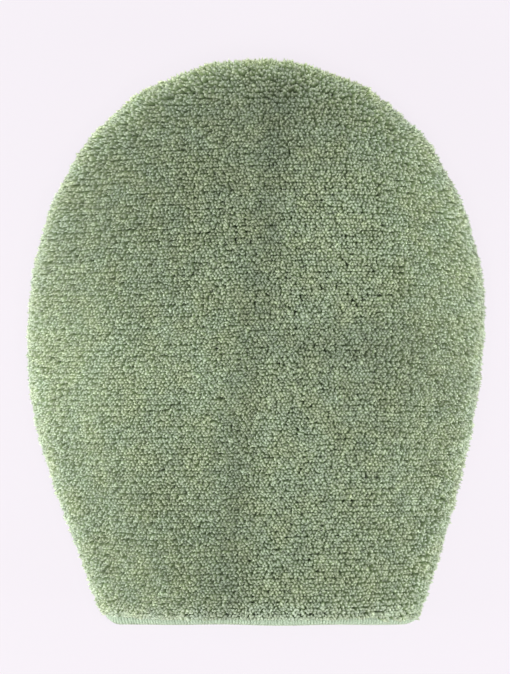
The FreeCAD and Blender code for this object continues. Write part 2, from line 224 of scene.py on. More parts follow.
# The sheets.
SHEET_END = 2.6 * MM  # above the cuff's edge, under the serging
SHEET_PAST = 40 * MM  # drawn this far past the cuff before they are cut
SHEET_MERGE = 0.05 * MM
WADDING_EDGE = 3 * MM
WADDING_MERGE = 0.02 * MM

# The serged cuff.
WRAP_PITCH = 1.3 * MM
WRAP_RADIUS = 0.7 * MM
WRAP_SLANT = 0.5 * MM
WRAP_SCATTER = 0.06  # of the thread's radius
CUFF_DRAWN_IN = 0.075  # of the height over the seam
CORNER_TURNS = (4.5 * MM, 2 * MM)  # how far the left and the right corner turn up
CORNER_TURN_REACH = 5 * MM
SIDE_PULL = 8.5 * MM  # how far the cuff's sides are drawn out
SIDE_PULL_REACH = 16 * MM
CHAIN_STEPS = 6  # in a wrap's pitch
CHAIN_RADIUS = 0.36 * MM
CHAIN_SWING = 0.35 * MM
CHAIN_BOB = 0.8 * MM
CHAIN_DROP = 0.15 * MM

BACKDROP = (0.939, 0.888, 0.947, 1)
BUMP_STRENGTH = 0.6

rng = np.random.default_rng(SEED)


def hill(distance, width):
    """1 where the distance is 0, and less on both sides."""
    return np.exp(-((distance / width) ** 2))


def fade(distance, reach):
    """1 at an edge and past it, and less with the distance inside."""
    return np.exp(-np.maximum(distance, 0) / reach)


def ramp(value, length):
    """From 0 at 0 to 1 at the length, and level past both."""
    return np.clip(value / length, 0, 1)


def soft_step(value, middle, width):
    """From 0 well under the middle to 1 well over it."""
    return 0.5 + 0.5 * np.tanh((value - middle) / width)


def wave(x, y, length_x, length_y=math.inf, start=0.0):
    """A wave over the cloth, from -1 to 1. The lengths are its run in x and y for each radian."""
    return np.sin(x / length_x + y / length_y + start)


def rim_distance(x, y):
    """How far inside the outline points lie, and the direction inward there."""
    side = np.where(x < 0, -1.0, 1.0)
    x = np.abs(x)
    in_crown = np.arctan2(y - CROWN_Y, x) >= FLANK_TURN
    in_flank = ~in_crown & (y >= WIDEST_Y)
    shift = np.where(in_crown, 0, np.where(in_flank, FLANK_SHIFT, WAIST_SHIFT))
    radius = np.where(in_crown, CROWN_RADIUS, np.where(in_flank, FLANK_RADIUS, WAIST_RADIUS))
    rise = y - np.where(in_crown, CROWN_Y, WIDEST_Y)
    angle = np.maximum(np.arctan2(rise, x + shift), -SIDE_TAPER)
    gap = radius - ((x + shift) * np.cos(angle) + rise * np.sin(angle))
    return gap, -side * np.cos(angle), -np.sin(angle)


def creases(x, y):
    """How deep in a crease a place is: 1 along its middle."""
    long_one = hill(x - CREASE_SLANT * y, CREASE_WIDTH)
    fold_length = soft_step(x, *FOLD_START) - soft_step(x, *FOLD_END)
    fold = FOLD_SHARE * fold_length * hill(y, FOLD_WIDTH)
    return np.maximum(long_one, fold)


def slack(x, y):
    """How far the cloth lies under its drawn height: the creases, and slow waves."""
    waves = wave(x, y, 19 * MM, 43 * MM, 1.3) * wave(x, y, -60 * MM, 24 * MM)
    return CREASE_DEPTH * creases(x, y) + SWELL * (1 + waves)


def settle(points):
    """The points as the mitt lies: swayed a little, wider near the cuff, its rim not quite even."""
    x, y = points[:, 0], points[:, 1]
    low = np.maximum(SWAY_TOP - y, 0)
    sway = -SWAY * np.sin(2 * math.pi * low / SWAY_LENGTH)
    spread = SPREAD * soft_step(low, *SPREAD_START)
    angle = np.arctan2(y, x)
    bump = RIM_BUMPS * np.cos(2 * math.pi * (angle - BUMP_PLACE) / BUMP_TURN)
    bump *= np.tanh(np.maximum(y - BUMP_BOTTOM, 0) / BUMP_RISE)
    bump *= np.tanh(np.abs(x) / BUMP_GAP)
    bump *= (np.hypot(x, y) / CROWN_TOP) ** BUMP_FALL
    moved = points.copy()
    moved[:, 0] += sway + spread * x / HALF_WIDTH + bump * np.cos(angle)
    moved[:, 1] += bump * np.sin(angle)
    return moved


class Panel:
    """One face of the mitt: a name, the way it faces, and its section from rim to middle."""

    def __init__(self, name, facing, rise, roll):
        self.name = name
        self.facing = facing
        self.roll = roll
        across = roll - RIM_RADIUS
        spare = 2 * SHOULDER_RADIUS - rise - RIM_RADIUS
        root = math.sqrt(across**2 - spare * (rise - RIM_RADIUS))
        steep = math.pi / 2 - 2 * math.atan((across - root) / spare)
        rim = np.linspace(0, steep, RIM_STEPS)
        shoulder = np.linspace(steep, math.pi / 2, SHOULDER_STEPS)
        self.turn = np.concatenate([rim, shoulder])
        self.depth = np.concatenate([
            RIM_RADIUS * (1 - np.cos(rim)),
            roll - SHOULDER_RADIUS * np.cos(shoulder),
        ])
        self.height = np.concatenate([
            RIM_RADIUS * np.sin(rim),
            rise - SHOULDER_RADIUS * (1 - np.sin(shoulder)),
        ])

    def section(self, inward):
        """The section's depth and height, this far inside the pile's tips."""
        depth = self.depth + inward * np.cos(self.turn)
        height = self.height - inward * np.sin(self.turn)
        return depth, height

    def run(self, inward):
        """The length along the section from the rim, this far inside the tips."""
        depth, height = self.section(inward)
        steps = np.hypot(np.diff(depth), np.diff(height))
        return np.concatenate([[0], np.cumsum(steps)])

    def place(self, x, y, inward):
        """Points inward of the tips over (x, y) of the flat cloth, the normals there, and how far
        along the cloth each lies from the rim's seam."""
        gap, across_x, across_y = rim_distance(x, y)
        run = self.run(LAY_DEPTH)
        along = gap + run[-1] - self.roll
        turn = np.interp(along, run, self.turn)
        past = np.maximum(along - run[-1], 0)
        depth = np.interp(along, run, self.depth) + past + inward * np.cos(turn)
        height = np.interp(along, run, self.height) - inward * np.sin(turn)
        px = x + across_x * (depth - gap)
        py = y + across_y * (depth - gap)
        lift = height - slack(px, py) * np.sin(turn) ** LEVEL_POWER
        points = np.stack([px, py, SEAM + self.facing * lift], -1)
        normals = np.stack(
            [-across_x * np.cos(turn), -across_y * np.cos(turn), self.facing * np.sin(turn)], -1
        )
        return points, normals, along


PALM = Panel("palm", 1, palm_high.z - SEAM, PALM_ROLL)
BACK = Panel("back", -1, SEAM - FLOOR, BACK_ROLL)


def add_object(name, data):
    """A new object in the scene."""
    made = bpy.data.objects.new(name, data)
    bpy.context.scene.collection.objects.link(made)
    return made


def link(mesh, material, node=None):
    """A new piece of the mitt, on its one body and in the node's place."""
    piece = add_object(mesh.name, mesh)
    mesh.materials.append(material)
    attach(piece, "root")
    if node:
        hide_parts(node)
    return piece


def make_mesh(name, points, corners, sizes):
    """A smooth mesh from points and its faces' corners, one after the other."""
    mesh = bpy.data.meshes.new(name)
    mesh.vertices.add(len(points))
    mesh.vertices.foreach_set("co", settle(points).astype(np.float32).ravel())
    mesh.loops.add(len(corners))
    mesh.loops.foreach_set("vertex_index", corners.astype(np.int32))
    mesh.polygons.add(len(sizes))
    starts = np.concatenate([[0], np.cumsum(sizes)[:-1]])
    mesh.polygons.foreach_set("loop_start", starts.astype(np.int32))
    mesh.polygons.foreach_set("use_smooth", np.ones(len(sizes), bool))
    mesh.update(calc_edges=True)
    return mesh


def unit(vectors):
    """The vectors, each at length 1."""
    return vectors / np.linalg.norm(vectors, axis=-1, keepdims=True)


def tube_rings(centres, radii, across, sides, closed=False, lobe=0.0, twist=0.0):
    """The rings of points round many tubes. centres is tubes x rings x 3."""
    if closed:
        along = np.roll(centres, -1, 1) - np.roll(centres, 1, 1)
    else:
        along = np.gradient(centres, axis=1)
    along = unit(along)
    u = unit(across - (across * along).sum(-1, keepdims=True) * along)
    v = np.cross(along, u)
    angle = np.arange(sides) * (2 * math.pi / sides)
    turn = np.broadcast_to(np.asarray(twist), centres.shape[:2])[..., None]
    reach = radii[..., None] * (1 + lobe * np.cos(2 * (angle - turn)))
    around = np.cos(angle)[:, None] * u[:, :, None] + np.sin(angle)[:, None] * v[:, :, None]
    return centres[:, :, None] + reach[..., None] * around


def closed_tubes(name, rings):
    """A mesh of rings that run round and join up, such as wraps of thread."""
    count, steps, sides, _ = rings.shape
    tube, step, side = np.meshgrid(
        np.arange(count), np.arange(steps), np.arange(sides), indexing="ij"
    )

    def index(k, m):
        return ((tube * steps + k % steps) * sides + m % sides).ravel()

    corners = np.stack([
        index(step, side),
        index(step, side + 1),
        index(step + 1, side + 1),
        index(step + 1, side),
    ], -1)
    return make_mesh(name, rings.reshape(-1, 3), corners.ravel(), np.full(len(corners), 4))


def capped_corners(count, steps, sides):
    """The corners of the faces of tubes that close on a point at each end, and the faces' sizes."""
    size = steps * sides + 2
    tube = np.arange(count)[:, None, None] * size
    step = np.arange(steps - 1)[None, :, None]
    side = np.arange(sides)[None, None, :]
    next_side = (side + 1) % sides

    def index(k, m):
        return tube + 1 + k * sides + m

    def faces(*corners):
        return np.stack(np.broadcast_arrays(*corners), -1).reshape(count, -1)

    walls = faces(
        index(step, side), index(step, next_side), index(step + 1, next_side), index(step + 1, side)
    )
    foot = faces(tube, index(0, next_side), index(0, side))
    tip = faces(tube + size - 1, index(steps - 1, side), index(steps - 1, next_side))
    corners = np.concatenate([walls, foot, tip], 1)
    sizes = np.concatenate([np.full((steps - 1) * sides, 4), np.full(2 * sides, 3)])
    return corners.ravel(), np.tile(sizes, count)


def capped_map(count, steps, sides):
    """Each of those corners' place on the map, which has a square cell for each tube."""
    side = np.arange(sides)
    column = np.broadcast_to(side, (steps - 1, sides))
    row = np.broadcast_to(np.arange(1, steps)[:, None], (steps - 1, sides))
    wall_u = np.stack([column, column + 1, column + 1, column], -1).ravel()
    wall_v = np.stack([row, row, row + 1, row + 1], -1).ravel()
    foot_u = np.stack([side + 0.5, side + 1, side], -1).ravel()
    foot_v = np.tile([0, 1, 1], sides)
    tip_u = np.stack([side + 0.5, side, side + 1], -1).ravel()
    tip_v = np.tile([steps + 1, steps, steps], sides)
    room = 1 - 2 * MAP_MARGIN
    u = MAP_MARGIN + room * np.concatenate([wall_u, foot_u, tip_u]) / sides
    v = MAP_MARGIN + room * np.concatenate([wall_v, foot_v, tip_v]) / (steps + 1)
    grid = math.ceil(math.sqrt(count))
    cell = np.arange(count)[:, None]
    return np.stack([(u + cell % grid) / grid, (v + cell // grid) / grid], -1).ravel()


def capped_tubes(name, rings, low, high):
    """A mesh of tubes that close on a point at each end, with its map."""
    count, steps, sides, _ = rings.shape
    points = np.concatenate([low[:, None], rings.reshape(count, -1, 3), high[:, None]], 1)
    mesh = make_mesh(name, points.reshape(-1, 3), *capped_corners(count, steps, sides))
    layer = mesh.uv_layers.new(name="OFBake")
    layer.data.foreach_set("uv", capped_map(count, steps, sides).astype(np.float32))
    return mesh


def mark(mesh, name, values):
    """A number for each point of the mesh, for its material."""
    made = mesh.attributes.new(name, "FLOAT", "POINT")
    made.data.foreach_set("value", values.astype(np.float32).ravel())


def bow_rows(x, y):
    """Where a place of the even rows comes to on the cloth, which is a little out of true."""
    crowded = 1.5 * MM * wave(x, y, math.inf, 31 * MM, -2.3)
    bowed = 0.6 * MM * wave(x, y, 37 * MM, 90 * MM)
    return x, y + crowded + bowed


def lattice(panel):
    """The stitches' places: even rows, with the needles' small errors."""
    spare = 12 * MM
    rows = np.arange(CUFF - spare, CROWN_TOP + spare, GAUGE)
    stitches = np.arange(-HALF_WIDTH - spare, HALF_WIDTH + spare, STITCH)
    x, y = np.meshgrid(stitches, rows)
    drift = np.cumsum(rng.normal(0, ROW_DRIFT, (len(rows), 1)), 0) * STITCH
    x = x + drift + rng.normal(0, NEEDLE_ERROR_X, x.shape)
    y = y + rng.normal(0, NEEDLE_ERROR_Y, y.shape)
    x, y = x.ravel(), y.ravel()
    roots, _, along = panel.place(*bow_rows(x, y), PILE)
    inside = along > -SEAM_SPARE
    along = np.maximum(along, SEAM_INSET)
    rise = np.where(x < 0, CORNER_RISE, 0) * fade(along, CORNER_REACH)
    kept = inside & (roots[:, 1] > PILE_EDGE + rise)
    return x[kept], y[kept], along[kept]


def swirl(first, second, length, bend):
    """A slow wave along the first axis that bends with the second."""
    return SWIRL * np.sin(first / length + 2 * np.sin(second / bend))


def pile_lean(x, y, along):
    """How the tips lie over the flat cloth: the nap's way, in slow swirls, less at every edge."""
    across = x / HALF_WIDTH
    pull = RIM_LEAN * hill(along, RIM_REACH)
    pull *= soft_step(y + RIM_LEAN_SLANT * np.maximum(x, 0), *RIM_LEAN_START)
    everywhere, to_right = RIM_LEAN_DOWN
    nap_x = NAP_LEAN * (across - NAP_PARTING) + RIM_LEAN_OUT * pull * across
    nap_y = -NAP_DOWN * NAP_LEAN * np.abs(across - NAP_PARTING)
    nap_y -= pull * (everywhere + to_right * np.maximum(across, 0))

    wander = 2.2 * MM * wave(x, y, 9 * MM) + 1.4 * MM * wave(x, y, 3.7 * MM, 5 * MM)
    parted = CROWN_PART * ramp(y, CROWN_TOP) ** 2
    parted *= hill(along - PART_MIDDLE - wander, PART_WIDTH)
    _, inward_x, inward_y = rim_distance(x, y)
    nap_x -= parted * inward_x
    nap_y -= parted * inward_y

    at_cuff = fade(y - PILE_EDGE, CUFF_CALM)
    overhang = CUFF_OVERHANG * at_cuff * (1 + 0.7 * wave(x, y, 7.5 * MM, start=2.2))
    lean_x = swirl(y, x, 21 * MM, 30 * MM) + nap_x
    lean_y = swirl(x, y, 17 * MM, 27 * MM) + nap_y * (1 - at_cuff) - overhang
    from_rim = 1 - fade(along, RIM_FRINGE)
    return lean_x * from_rim, lean_y * from_rim


def painted_light_and_shade(x, y):
    """Painted light and shade over the pile from place to place, from about -1 to 1: lighter and
    darker in broad waves, and painted shade in the creases, at the upper middle and at the lower
    left.
    """
    broad = wave(x, y, 50 * MM) * np.sin((y - 12 * MM) / (35 * MM))
    upper = soft_step(y, -25 * MM, 15 * MM)
    crown_painted_shade = 0.8 * hill(x, 45 * MM) * soft_step(y, 60 * MM, 15 * MM)
    low_painted_shade = 0.7 * hill(x + 50 * MM, 35 * MM) * soft_step(-y, 60 * MM, 20 * MM)
    return broad * upper - creases(x, y) - crown_painted_shade - low_painted_shade


def place_stitches(panel):
    """The panel's stitches: where each is, and how its tuft leans, is painted lighter or darker and
    is cut.
    """
    x, y, along = lattice(panel)
    count = len(x)
    upward = ramp(y, CROWN_TOP)
    fringe = fade(along, RIM_FRINGE)
    band = hill(along, RIM_BAND)
    lean_x, lean_y = pile_lean(x, y, along)
    lean_x += rng.normal(0, TUFT_LEAN, count) * (1 + FRINGE_LEAN * fringe)
    lean_y += rng.normal(0, TUFT_LEAN, count) * (1 + FRINGE_LEAN * fringe)
    # Painted light and shade: the tone differs at random, is darker in the creases and lighter or
    # darker from place to place, and is painted paler along the rim (more on the left and at the
    # crown) and at the cuff.
    tone = rng.normal(0, TUFT_TONE, count) + PAINTED_SHADING_TONE * painted_light_and_shade(x, y) * (1 - band)
    # Painted light: paler along the rim, more on the left and at the crown.
    tone += band * (RIM_PAINTED_LIGHT - RIM_PAINTED_LIGHT_SLOPE * x / HALF_WIDTH + upward**3)
    # Painted light: paler at the cuff.
    tone += CUFF_PAINTED_LIGHT * fade(y - PILE_EDGE, CUFF_PAINTED_LIGHT_REACH)
    ragged = wave(x, y, 4.7 * MM, 3.8 * MM) + 0.7 * wave(x, y, 1.9 * MM, -2.4 * MM)
    short = (rng.normal(0, SHORT_TUFTS, count) + SHORT_WAVES * ragged) * fringe
    return SimpleNamespace(
        x=x, y=y, along=along, upward=upward, fringe=fringe, band=band,
        lean_x=lean_x, lean_y=lean_y, tone=tone, short=short,
    )


def leg_places(ends):
    """Where each yarn end's tip stands round the middle of its stitch: a little nearer to its row
    at the left and the lower right, and further from it in the upper middle."""
    x, y = ends.x, ends.y
    stitch, leg = np.divmod(np.arange(len(x)), LEGS)
    nearer = 0.1 * ramp(-x, 50 * MM)
    nearer += 0.05 * ramp(x, 50 * MM) * ramp(-y, 60 * MM)
    nearer -= 0.035 * hill(x, 35 * MM) * ramp(y + 10 * MM, 50 * MM)
    side = 1 - 2 * ((stitch + leg) % 2)
    leg_x = (leg - (LEGS - 1) / 2) * STITCH / LEGS
    return leg_x, ROW_SPLAY * (1 - nearer) * side


def cut_length(ends):
    """How far each yarn end stops short of the drawn tips."""
    uneven = 1 + CROWN_UNEVEN * ends.fringe * ends.upward**2
    scatters = rng.normal(SHORT_MEAN, 1, len(ends.x)) * uneven + ends.short
    scatters = np.clip(scatters, *SHORT_LIMITS) + SHORT_FRINGE * ends.fringe
    return scatters * LENGTH_SCATTER * (1 + LOOSE_FRINGE * ends.fringe)


def cut_ends(panel):
    """The panel's yarn ends: what their stitches say, their tones and their curves."""
    stitches = vars(place_stitches(panel))
    ends = SimpleNamespace(**{name: np.repeat(stitches[name], LEGS) for name in stitches})
    total = len(ends.x)
    ends.tone = OWN_TONE + ends.tone + rng.normal(0, YARN_TONE, total)
    leg_x, leg_y = leg_places(ends)
    root_x, root_y = bow_rows(ends.x + leg_x * LEG_GAP, ends.y + leg_y * LEG_GAP)
    ends.roots, ends.normals, _ = panel.place(root_x, root_y, PILE + ROOT_SINK)
    ruffled = ends.upward**2 * hill(ends.along - RUFFLE_MIDDLE, RUFFLE_WIDTH)
    scatter = TIP_SCATTER * (1 + BAND_SCATTER * ends.band + RUFFLE_SCATTER * ruffled)
    tip_x, tip_y = bow_rows(ends.x + leg_x, ends.y + leg_y)
    ends.tip_x = tip_x + ends.lean_x + rng.normal(0, 1, total) * scatter
    ends.tip_y = tip_y + ends.lean_y + rng.normal(0, 1, total) * scatter
    ends.tips, _, _ = panel.place(ends.tip_x, ends.tip_y, cut_length(ends))
    off_line = rng.normal(0, YARN_BEND, (total, 3))
    ends.bends = ends.roots + ends.normals * PILE * BEND_HEIGHT + off_line
    return ends


def on_curve(ends, shares):
    """The points of each yarn end's curve at these shares of its length."""
    t = np.array(shares)[None, :, None]
    from_root = (1 - t) ** 2 * ends.roots[:, None]
    from_bend = 2 * t * (1 - t) * ends.bends[:, None]
    return from_root + from_bend + t**2 * ends.tips[:, None]


def keep_above(points, height):
    """Raise the points that are lower to this height."""
    points[..., 2] = np.maximum(points[..., 2], height)


def grow_pile(panel, material):
    """The panel's yarn ends and their loose fibres, each as four pieces."""
    ends = cut_ends(panel)
    total = len(ends.x)
    thick = YARN_RADIUS * np.clip(rng.normal(1, YARN_SCATTER, total), *YARN_LIMITS)
    at_cuff = fade(ends.y - PILE_EDGE, CUFF_BAND)
    at_rim = ends.fringe * (1 + CROWN_SLIM * ends.upward**2)
    slimmer = at_rim[:, None] * RIM_SLIM + at_cuff[:, None] * CUFF_SLIM
    radii = thick[:, None] * YARN_SWELL * (1 - slimmer)
    # Level and square to the normal, and never nothing.
    across = np.stack([-ends.normals[:, 1], ends.normals[:, 0] + 1e-3, np.zeros(total)], -1)
    twist = rng.uniform(0, math.pi, total)[:, None] + PLY_TURN * YARN_RINGS
    rings = tube_rings(
        on_curve(ends, YARN_RINGS), radii, across[:, None], YARN_SIDES, lobe=PLY_LOBE, twist=twist
    )
    keep_above(rings, FLOOR + 0.1 * MM)
    keep_above(ends.tips, FLOOR)
    # Along the rim and the cuff the yarn ends are painted pale further down: painted light.
    share_pile(panel, "pile", material, SimpleNamespace(
        rings=rings, roots=ends.roots, tips=ends.tips, x=ends.x, y=ends.y,
        heights=YARN_RINGS, tone=ends.tone, paler=EDGE_PAINTED_LIGHT * np.maximum(ends.fringe, at_cuff),
    ))
    grow_fibres(panel, ends, material)


def grow_fibres(panel, ends, material):
    """The loose fibres that splay out of each yarn end, shorter along the rim."""
    total = len(ends.x) * FIBRES
    x, y, fringe, tone = (
        np.repeat(values, FIBRES) for values in (ends.tip_x, ends.tip_y, ends.fringe, ends.tone)
    )
    starts, bends = (
        np.repeat(on_curve(ends, [share])[:, 0], FIBRES, 0) for share in (FIBRE_START, FIBRE_BEND)
    )
    splay = rng.normal(0, FIBRE_SPLAY, (2, total)) * (1 - FIBRE_CALM * fringe)
    rise = FIBRE_RISE * (rng.normal(0, 1, total) - FIBRE_TRIM * fringe)
    tips, _, _ = panel.place(x + splay[0], y + splay[1], -rise)
    centres = np.stack([starts, bends + (tips - bends) * 0.5, tips], 1)
    radii = np.full((total, 3), FIBRE_RADIUS)
    across = np.broadcast_to(FIBRE_ACROSS, centres.shape)
    twist = rng.uniform(0, math.pi, (total, 1))
    rings = tube_rings(centres, radii, across, 3, twist=twist)[:, 1:2]
    keep_above(rings, FLOOR)
    keep_above(tips, FLOOR)
    share_pile(panel, "fibres", material, SimpleNamespace(
        rings=rings, roots=starts, tips=tips, x=x, y=y, heights=[FIBRE_HEIGHT],
        tone=tone + rng.normal(0, FIBRE_TONE, total), paler=np.zeros(total),
    ))


def share_pile(panel, name, material, tubes):
    """Tubes of yarn as four pieces: the panel's quarters."""
    up = np.concatenate([[0], np.repeat(tubes.heights, tubes.rings.shape[2]), [1]])
    middle = (CROWN_TOP + CUFF) / 2
    for side_name, on_side in (("left", tubes.x < 0), ("right", tubes.x >= 0)):
        for end_name, on_end in (("cuff", tubes.y < middle), ("crown", tubes.y >= middle)):
            own = on_side & on_end
            piece_name = f"{panel.name}_{name}_{end_name}_{side_name}"
            mesh = capped_tubes(piece_name, tubes.rings[own], tubes.roots[own], tubes.tips[own])
            # The edges' painted light shifts each yarn end further up its colour ramp.
            mark(mesh, "root_to_tip", up + tubes.paler[own][:, None])
            mark(mesh, "yarn_tone", np.repeat(tubes.tone[own], len(up)))
            link(mesh, material, f"{panel.name}_pile")


def feed(tree, node, inputs):
    """Set a node's inputs, each to a value or to another node's output."""
    for name, value in inputs.items():
        if isinstance(value, bpy.types.NodeSocket):
            tree.links.new(value, node.inputs[name])
        else:
            node.inputs[name].default_value = value


def add_node(tree, kind, inputs, **settings):
    """A new shader node with these inputs and settings."""
    node = tree.nodes.new(f"ShaderNode{kind}")
    for name, value in settings.items():
        setattr(node, name, value)
    feed(tree, node, inputs)
    return node


class Shader:
    """A node material round one Principled shader."""

    def __init__(self, name, roughness, sheen):
        self.material = bpy.data.materials.new(name)
        self.material.use_nodes = True
        self.tree = self.material.node_tree
        self.surface = self.tree.nodes["Principled BSDF"]
        feed(self.tree, self.surface, {
            "Roughness": roughness,
            "Sheen Weight": sheen,
            "Sheen Roughness": 0.5,
            "Sheen Tint": (0.8, 0.95, 0.65, 1),
            "Specular IOR Level": 0.2,
        })
        self.place = self.add("TexCoord", {}, "Object")

    def add(self, kind, inputs, output, **settings):
        """A new node's output."""
        return add_node(self.tree, kind, inputs, **settings).outputs[output]

    def attribute(self, name):
        """What mark gave each point of the mesh under this name."""
        return self.add("Attribute", {}, "Fac", attribute_name=name)

    def noise(self, scale, detail, stretch=None):
        """Cloudy noise from 0 to 1, finer by its scale."""
        place = self.place
        if stretch:
            place = self.add("Mapping", {"Vector": place, "Scale": stretch}, "Vector")
        return self.add("TexNoise", {"Vector": place, "Scale": scale, "Detail": detail}, "Fac")

    def bands(self, direction, pitch):
        """Bands this far apart, from 0 to 1. At a scale of 1 they come every tenth of pi."""
        inputs = {"Vector": self.place, "Scale": math.pi / 10 / pitch, "Distortion": 0.4}
        return self.add("TexWave", inputs, "Fac", bands_direction=direction)

    def spread(self, value, low, high, to_high=1.0):
        """The value from low to high, as a number from 0 to the last one."""
        inputs = {"Value": value, "From Min": low, "From Max": high, "To Max": to_high}
        return self.add("MapRange", inputs, "Result")

    def ramp(self, value, stops):
        """The colour that these stops give the value."""
        made = add_node(self.tree, "ValToRGB", {"Fac": value})
        band = made.color_ramp.elements
        while len(band) < len(stops):
            band.new(0.5)
        for element, (position, colour) in zip(band, stops):
            element.position = position
            element.color = colour
        return made.outputs["Color"]

    def mix(self, share, first, second, blend="MIX"):
        """The first colour, with this share of the second."""
        inputs = {"Factor": share, "A": first, "B": second}
        return self.add("Mix", inputs, "Result", data_type="RGBA", blend_type=blend)

    def tint(self, colour, by):
        """The colour times another."""
        return self.mix(1.0, colour, by, "MULTIPLY")

    def finish(self, colour, height, depth):
        """The finished material, in this colour and with a bump this deep."""
        inputs = {"Height": height, "Distance": depth, "Strength": BUMP_STRENGTH}
        bump = self.add("Bump", inputs, "Normal")
        feed(self.tree, self.surface, {"Base Color": colour, "Normal": bump})
        return self.material


def pile_material():
    """Soft green yarn: paler tips over dark roots, the dark partly painted shade, and paler and a
    little yellower by its tone, which holds painted light and shade.
    """
    shader = Shader("pile_yarn", roughness=0.95, sheen=0.25)
    # Darker down the yarn: partly the yarn's own deeper colour at the roots, partly painted shade
    # deep in the pile.
    body = shader.ramp(shader.attribute("root_to_tip"), (
        (0.7, (0.205, 0.288, 0.142, 1)),
        (0.905, (0.244, 0.316, 0.186, 1)),
        (0.985, (0.515, 0.598, 0.475, 1)),
    ))
    patches = shader.spread(shader.noise(scale=90, detail=3), 0.35, 0.65)
    body = shader.mix(patches, body, shader.tint(body, (1.04, 1.0, 0.92, 1)))
    # Its tone holds random tone and painted light and shade; the palest are a little yellower.
    tone = shader.ramp(shader.spread(shader.attribute("yarn_tone"), 0.0, 2.0), (
        (0.0, (0.68, 0.68, 0.68, 1)),
        (0.45, (1.26, 1.26, 1.26, 1)),
        (0.95, (1.88, 1.86, 1.64, 1)),
    ))
    body = shader.tint(body, tone)
    strands = shader.spread(shader.noise(1100, 2, stretch=(1, 1, 0.25)), 0.35, 0.65)
    body = shader.mix(strands, body, shader.tint(body, (0.8, 0.8, 0.76, 1)))
    return shader.finish(body, shader.noise(scale=1500, detail=3), depth=0.25 * MM)


def woven_material(name, light, dark, pitch):
    """Plain weave: threads over and under each other, in slightly uneven colour."""
    shader = Shader(name, roughness=0.9, sheen=0.15)
    threads = {0: shader.bands("X", pitch), 1: shader.bands("Y", pitch)}
    over = shader.add("Math", threads, "Value", operation="MULTIPLY")
    worn = shader.spread(shader.noise(scale=60, detail=3), 0.35, 0.7, to_high=0.35)
    colour = shader.mix(worn, shader.mix(over, dark, light), dark)
    return shader.finish(colour, over, depth=0.3 * MM)


def wadding_material():
    """Off-white fibre in soft lumps."""
    shader = Shader("wadding_fibre", roughness=1.0, sheen=0.2)
    lumps = shader.noise(scale=220, detail=5)
    colour = shader.mix(lumps, (0.66, 0.65, 0.60, 1), (0.86, 0.85, 0.82, 1))
    return shader.finish(colour, lumps, depth=0.8 * MM)


def thread_material(name, light, dark):
    """Bulky sewing thread, with its fibres along it."""
    shader = Shader(name, roughness=0.85, sheen=0.2)
    fibre = shader.noise(900, 3, stretch=(1.6, 0.5, 1.6))
    colour = shader.mix(shader.spread(fibre, 0.3, 0.7), dark, light)
    return shader.finish(colour, fibre, depth=0.2 * MM)


def outline_spokes():
    """Points round the outline from left cuff to right, past the cuff by a little, as
    (x, y, inward x, inward y, distance to the middle line)."""
    arcs = (
        (0.0, CROWN_Y, CROWN_RADIUS, math.pi / 2, FLANK_TURN, CROWN_SPOKES),
        (FLANK_SHIFT, WIDEST_Y, FLANK_RADIUS, FLANK_TURN, 0.0, FLANK_SPOKES),
        (WAIST_SHIFT, WIDEST_Y, WAIST_RADIUS, 0.0, -SIDE_TAPER, WAIST_SPOKES),
    )
    spokes = []
    for shift, centre_y, radius, start, end, count in arcs:
        for angle in np.linspace(start, end, count, endpoint=False):
            across = radius - shift / math.cos(angle)
            x = radius * math.cos(angle) - shift
            y = centre_y + radius * math.sin(angle)
            spokes.append((x, y, -math.cos(angle), -math.sin(angle), across))
    length = (SIDE_Y - CUFF) / TAPER_COS + SHEET_PAST
    for step in np.linspace(0, length, SIDE_SPOKES):
        x = SIDE_X - step * TAPER_SIN
        y = SIDE_Y - step * TAPER_COS
        spokes.append((x, y, -TAPER_COS, TAPER_SIN, x / TAPER_COS))
    right = np.array(spokes)
    left = right[:0:-1] * np.array([-1, 1, -1, 1, 1])
    return np.concatenate([left, right])


SPOKES = outline_spokes()


def spread_grid(name, panel, depths, heights):
    """A grid mesh over the panel: depths run in along each spoke and end at the middle line."""
    inner = np.linspace(0, 1, MIDDLE_STEPS + 1)[1:]
    start = depths[-1]
    far = start + (SPOKES[:, 4:5] - start) * inner
    depth = np.concatenate([np.broadcast_to(depths, (len(SPOKES), len(depths))), far], 1)
    height = np.concatenate([heights, np.full(len(inner), heights[-1])])
    x = SPOKES[:, 0:1] + SPOKES[:, 2:3] * depth
    y = SPOKES[:, 1:2] + SPOKES[:, 3:4] * depth
    level = np.concatenate([np.linspace(0, 1, len(depths)), np.ones(len(inner))]) ** LEVEL_POWER
    z = SEAM + panel.facing * (height - slack(x, y) * level)
    points = np.stack([x, y, z], -1)
    rows, columns = x.shape
    grid = np.arange(rows * columns).reshape(rows, columns)
    quads = [grid[:-1, :-1], grid[1:, :-1], grid[1:, 1:], grid[:-1, 1:]]
    if panel.facing < 0:
        quads.reverse()
    corners = np.stack(quads, -1).ravel()
    mesh = make_mesh(name, points.reshape(-1, 3), corners, np.full(len(corners) // 4, 4))
    cut = bmesh.new()
    cut.from_mesh(mesh)
    bmesh.ops.remove_doubles(cut, verts=cut.verts, dist=SHEET_MERGE)
    everything = list(cut.verts) + list(cut.edges) + list(cut.faces)
    bmesh.ops.bisect_plane(
        cut, geom=everything, plane_co=(0, CUFF + SHEET_END, 0), plane_no=(0, -1, 0),
        clear_outer=True,
    )
    cut.to_mesh(mesh)
    cut.free()
    return mesh


